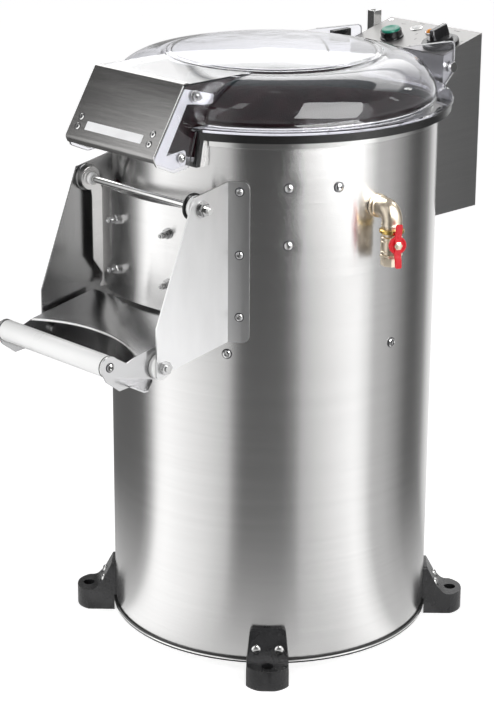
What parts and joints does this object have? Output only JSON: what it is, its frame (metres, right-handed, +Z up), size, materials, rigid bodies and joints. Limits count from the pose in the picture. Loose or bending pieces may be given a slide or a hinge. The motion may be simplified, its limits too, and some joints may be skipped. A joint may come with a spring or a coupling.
{
  "type": "potato peeler machine",
  "caption": "Floor-standing drum potato peeler with a clear hinged lid, front outlet door with a tilting tray, side water valve and a rear control box.",
  "frame": {"origin": "middle of the machine's bounding box in plan, on the floor under its feet", "axes": "+Z up, -Y towards the outlet and its tray, +X towards the water valve"},
  "size_m": [0.4676, 0.6532, 0.7397],
  "materials": {
    "drum_shell": "brushed",
    "base_trim_ring": "matt black",
    "base_plate": "brushed",
    "top_rim": "brushed",
    "rim_gasket": "matt black",
    "foot_front_right": "satin",
    "foot_rear_right": "satin",
    "foot_rear_left": "satin",
    "foot_front_left": "satin",
    "outlet_side_plate_left": "brushed",
    "outlet_side_plate_right": "brushed",
    "door_rod": "polished",
    "rod_nut_left": "polished",
    "rod_nut_right": "polished",
    "rod_washer_left": "brushed",
    "rod_bush_left": "white",
    "rod_washer_right": "satin",
    "rod_bush_right": "white",
    "outlet_door": "brushed",
    "door_liner": "coarse bonded grit",
    "discharge_tray": "brushed",
    "tray_grip": "white",
    "tray_pivot_bolt_left": "polished",
    "tray_pivot_spacer_left": "white",
    "tray_pivot_bolt_right": "polished",
    "tray_pivot_spacer_right": "white",
    "abrasive_liner": "coarse bonded grit",
    "chamber_floor": "brushed",
    "drain_spout": "grey",
    "abrasive_disc": "coarse bonded grit",
    "disc_shaft": "polished",
    "disc_pulley": "painted grey",
    "bearing_housing": "painted grey",
    "motor": "painted grey",
    "motor_pulley": "polished",
    "drive_belt": "matt black",
    "lid_dome": "clear, glossy",
    "hood_front_plate": "brushed",
    "hood_bracket_left": "brushed",
    "hood_bracket_right": "brushed",
    "lid_hinge_bolt_left": "polished",
    "lid_hinge_bolt_right": "polished",
    "lid_interlock_magnet": "satin",
    "control_box": "brushed",
    "lid_stop_bracket": "brushed",
    "contactor": "grey",
    "control_panel": "brushed",
    "start_button_bezel": "satin",
    "start_button": "satin",
    "power_lamp": "white",
    "warning_lamp": "satin",
    "selector_base": "satin",
    "selector_knob": "satin",
    "inlet_elbow": "bright",
    "valve_body": "bright",
    "valve_union_nut": "bright",
    "spray_nozzle": "bright",
    "valve_lever": "gloss red"
  },
  "bodies": {
    "frame": {"drum_shell": "drum_shell", "base_trim_ring": "base_trim_ring", "base_plate": "base_plate", "top_rim": "top_rim", "rim_gasket": "rim_gasket", "foot_front_right": "foot_front_right", "foot_rear_right": "foot_rear_right", "foot_rear_left": "foot_rear_left", "foot_front_left": "foot_front_left", "outlet_side_plate_left": "outlet_side_plate_left", "outlet_side_plate_right": "outlet_side_plate_right", "door_rod": "door_rod", "rod_nut_left": "rod_nut_left", "rod_nut_right": "rod_nut_right", "rod_washer_left": "rod_washer_left", "rod_bush_left": "rod_bush_left", "rod_washer_right": "rod_washer_right", "rod_bush_right": "rod_bush_right", "tray_pivot_bolt_left": "tray_pivot_bolt_left", "tray_pivot_spacer_left": "tray_pivot_spacer_left", "tray_pivot_bolt_right": "tray_pivot_bolt_right", "tray_pivot_spacer_right": "tray_pivot_spacer_right", "abrasive_liner": "abrasive_liner", "chamber_floor": "chamber_floor", "drain_spout": "drain_spout", "bearing_housing": "bearing_housing", "motor": "motor", "drive_belt": "drive_belt", "lid_hinge_bolt_left": "lid_hinge_bolt_left", "lid_hinge_bolt_right": "lid_hinge_bolt_right", "control_box": "control_box", "lid_stop_bracket": "lid_stop_bracket", "contactor": "contactor", "control_panel": "control_panel", "start_button_bezel": "start_button_bezel", "power_lamp": "power_lamp", "warning_lamp": "warning_lamp", "selector_base": "selector_base", "inlet_elbow": "inlet_elbow", "valve_body": "valve_body", "valve_union_nut": "valve_union_nut", "spray_nozzle": "spray_nozzle"},
    "lid": {"lid_dome": "lid_dome", "hood_front_plate": "hood_front_plate", "hood_bracket_left": "hood_bracket_left", "hood_bracket_right": "hood_bracket_right", "lid_interlock_magnet": "lid_interlock_magnet"},
    "door": {"outlet_door": "outlet_door", "door_liner": "door_liner"},
    "tray": {"discharge_tray": "discharge_tray", "tray_grip": "tray_grip"},
    "disc": {"abrasive_disc": "abrasive_disc", "disc_shaft": "disc_shaft", "disc_pulley": "disc_pulley"},
    "rotor": {"motor_pulley": "motor_pulley"},
    "button": {"start_button": "start_button"},
    "selector": {"selector_knob": "selector_knob"},
    "valve_handle": {"valve_lever": "valve_lever"}
  },
  "joints": [
    {"name": "lid_hinge", "type": "hinge", "parent": "frame", "child": "lid", "pos_m": [-0.01584, 0.26422, 0.691], "axis": [-1, 0, 0], "range_deg": [0, 60]},
    {"name": "door_hinge", "type": "hinge", "parent": "frame", "child": "door", "pos_m": [-0.01584, -0.18178, 0.592], "axis": [-1, 0, 0], "range_deg": [0, 80]},
    {"name": "tray_hinge", "type": "hinge", "parent": "frame", "child": "tray", "pos_m": [-0.01584, -0.24178, 0.4175], "axis": [-1, 0, 0], "range_deg": [0, 95]},
    {"name": "disc_spin", "type": "hinge", "parent": "frame", "child": "disc", "pos_m": [-0.01584, 0.03222, 0.23], "axis": [0, 0, 1], "continuous": true},
    {"name": "rotor_spin", "type": "hinge", "parent": "frame", "child": "rotor", "pos_m": [-0.13084, 0.03222, 0.24], "axis": [0, 0, 1], "continuous": true},
    {"name": "button_press", "type": "slide", "parent": "frame", "child": "button", "axis": [0, 0.2385, -0.9711], "range_m": [0, 0.0035], "stiffness_N_per_m": 300},
    {"name": "selector_turn", "type": "hinge", "parent": "frame", "child": "selector", "pos_m": [0.03566, 0.27745, 0.71352], "axis": [0, -0.2385, 0.9711], "range_deg": [0, 90]},
    {"name": "valve_turn", "type": "hinge", "parent": "frame", "child": "valve_handle", "pos_m": [0.20966, 0.00213, 0.5449], "axis": [0.8829, -0.4695, 0], "range_deg": [0, 90]}
  ],
  "couplings": [
    {"joint": "rotor_spin", "follows": "disc_spin", "ratio": 3}
  ]
}
